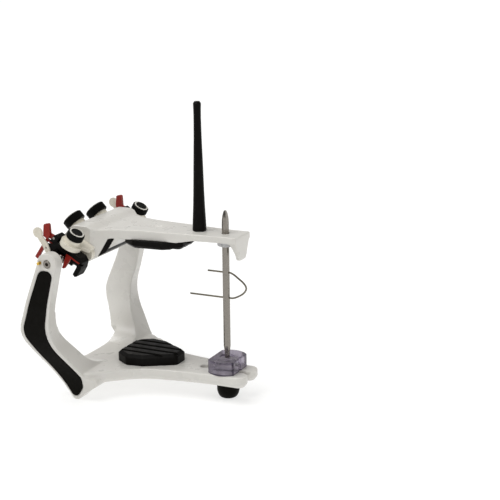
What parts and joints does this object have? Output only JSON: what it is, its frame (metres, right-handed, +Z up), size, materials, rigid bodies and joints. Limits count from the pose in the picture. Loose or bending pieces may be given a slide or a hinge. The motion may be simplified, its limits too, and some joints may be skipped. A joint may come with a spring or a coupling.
{
  "type": "dental articulator",
  "caption": "Semi-adjustable dental articulator: white cast frame and hinged upper bow, condylar guidance, incisal pin on a clear table.",
  "frame": {"origin": "on the bench, under the middle of the whole object's bounding box", "axes": "+Z up, -Y towards the incisal pin in front, X across between the condyles"},
  "size_m": [0.162, 0.1808, 0.253],
  "materials": {
    "white_enamel": "gloss",
    "grip_rubber": "matte",
    "foot_rubber": "satin",
    "black_plastic": "satin",
    "knob_plastic": "knurled satin",
    "ring_white": "gloss",
    "ivory_plastic": "satin",
    "grey_plastic": "satin",
    "red_plastic": "satin",
    "steel": "ground",
    "wire_steel": "drawn",
    "brass": "turned",
    "acrylic": "clear smoked"
  },
  "bodies": {
    "lower_member": {"lower_frame": "white_enamel", "grip_left": "grip_rubber", "condyle_shaft_left": "steel", "facebow_pin_left": "brass", "grip_right": "grip_rubber", "condyle_shaft_right": "steel", "facebow_pin_right": "brass", "front_foot": "foot_rubber", "lower_magnet": "steel", "lower_mounting_plate": "black_plastic", "lower_plate_disc": "steel", "lower_index_pins": "steel"},
    "table": {"incisal_table": "acrylic", "table_lock_screw": "steel"},
    "upper_member": {"upper_bow": "white_enamel", "upper_magnet": "steel", "upper_mounting_plate": "black_plastic", "upper_plate_disc": "steel", "upper_index_pins": "steel", "bow_pad": "black_plastic", "support_rod": "black_plastic", "pin_collar": "grey_plastic", "collar_screw": "steel", "inclination_pivot_left": "steel", "lock_collar_left": "ivory_plastic", "inclination_pivot_right": "steel", "lock_collar_right": "ivory_plastic"},
    "pin": {"incisal_pin": "steel"},
    "wire": {"pin_wire": "wire_steel"},
    "bracket_left": {"guidance_bracket_left": "ivory_plastic"},
    "guide_left": {"guidance_housing_left": "black_plastic", "lever_pin_left": "steel", "blade_screw_left": "steel"},
    "latch_left": {"centric_latch_left": "red_plastic"},
    "lever_left": {"latch_lever_left": "red_plastic"},
    "blade_left": {"spacer_blade_left": "ivory_plastic"},
    "incline_knob_left": {"inclination_lock_left": "knob_plastic", "inclination_lock_left_ring": "ring_white", "inclination_lock_left_stud": "steel"},
    "shift_knob_left": {"shift_lock_left": "knob_plastic", "shift_lock_left_ring": "ring_white", "shift_lock_left_stud": "steel"},
    "bracket_right": {"guidance_bracket_right": "ivory_plastic"},
    "guide_right": {"guidance_housing_right": "black_plastic", "lever_pin_right": "steel", "blade_screw_right": "steel"},
    "latch_right": {"centric_latch_right": "red_plastic"},
    "lever_right": {"latch_lever_right": "red_plastic"},
    "blade_right": {"spacer_blade_right": "ivory_plastic"},
    "incline_knob_right": {"inclination_lock_right": "knob_plastic", "inclination_lock_right_ring": "ring_white", "inclination_lock_right_stud": "steel"},
    "shift_knob_right": {"shift_lock_right": "knob_plastic", "shift_lock_right_ring": "ring_white", "shift_lock_right_stud": "steel"}
  },
  "joints": [
    {"name": "table_slide", "type": "slide", "parent": "lower_member", "child": "table", "axis": [0, 1, 0], "range_m": [-0.003, 0.003]},
    {"name": "bow_hinge", "type": "hinge", "parent": "lower_member", "child": "upper_member", "pos_m": [0, 0.0586, 0.123], "axis": [-1, 0, 0], "range_deg": [0, 150]},
    {"name": "pin_slide", "type": "slide", "parent": "upper_member", "child": "pin", "axis": [0, 0, 1], "range_m": [0, 0.011]},
    {"name": "wire_slide", "type": "slide", "parent": "pin", "child": "wire", "axis": [0, 1, 0], "range_m": [-0.009, 0.0004]},
    {"name": "inclination_left", "type": "hinge", "parent": "upper_member", "child": "bracket_left", "pos_m": [-0.0408, 0.0586, 0.123], "axis": [1, 0, 0], "range_deg": [-30, 30]},
    {"name": "side_shift_left", "type": "hinge", "parent": "bracket_left", "child": "guide_left", "pos_m": [-0.0538, 0.05045, 0.13331], "axis": [0, 0.5, -0.866], "range_deg": [-10, 0]},
    {"name": "latch_slide_left", "type": "slide", "parent": "guide_left", "child": "latch_left", "axis": [0, -0.866, -0.5], "range_m": [-0.0012, 0]},
    {"name": "latch_lever_turn_left", "type": "hinge", "parent": "guide_left", "child": "lever_left", "pos_m": [-0.057, 0.06247, 0.1407], "axis": [1, 0, 0], "range_deg": [0, 35]},
    {"name": "blade_swing_left", "type": "hinge", "parent": "guide_left", "child": "blade_left", "pos_m": [-0.0614, 0.06869, 0.13252], "axis": [1, 0, 0], "range_deg": [-20, 40]},
    {"name": "inclination_knob_turn_left", "type": "hinge", "parent": "upper_member", "child": "incline_knob_left", "pos_m": [-0.0182, 0.0629, 0.1415], "axis": [0, 0.6947, 0.7193], "range_deg": [0, 360]},
    {"name": "shift_knob_turn_left", "type": "hinge", "parent": "bracket_left", "child": "shift_knob_left", "pos_m": [-0.0538, 0.04646, 0.14024], "axis": [0, -0.5, 0.866], "range_deg": [0, 360]},
    {"name": "inclination_right", "type": "hinge", "parent": "upper_member", "child": "bracket_right", "pos_m": [0.0408, 0.0586, 0.123], "axis": [1, 0, 0], "range_deg": [-30, 30]},
    {"name": "side_shift_right", "type": "hinge", "parent": "bracket_right", "child": "guide_right", "pos_m": [0.0538, 0.05045, 0.13331], "axis": [0, -0.5, 0.866], "range_deg": [-10, 0]},
    {"name": "latch_slide_right", "type": "slide", "parent": "guide_right", "child": "latch_right", "axis": [0, -0.866, -0.5], "range_m": [-0.0012, 0]},
    {"name": "latch_lever_turn_right", "type": "hinge", "parent": "guide_right", "child": "lever_right", "pos_m": [0.057, 0.06247, 0.1407], "axis": [1, 0, 0], "range_deg": [0, 35]},
    {"name": "blade_swing_right", "type": "hinge", "parent": "guide_right", "child": "blade_right", "pos_m": [0.0614, 0.06869, 0.13252], "axis": [1, 0, 0], "range_deg": [-20, 40]},
    {"name": "inclination_knob_turn_right", "type": "hinge", "parent": "upper_member", "child": "incline_knob_right", "pos_m": [0.0182, 0.0629, 0.1415], "axis": [0, 0.6947, 0.7193], "range_deg": [0, 360]},
    {"name": "shift_knob_turn_right", "type": "hinge", "parent": "bracket_right", "child": "shift_knob_right", "pos_m": [0.0538, 0.04646, 0.14024], "axis": [0, -0.5, 0.866], "range_deg": [0, 360]}
  ]
}
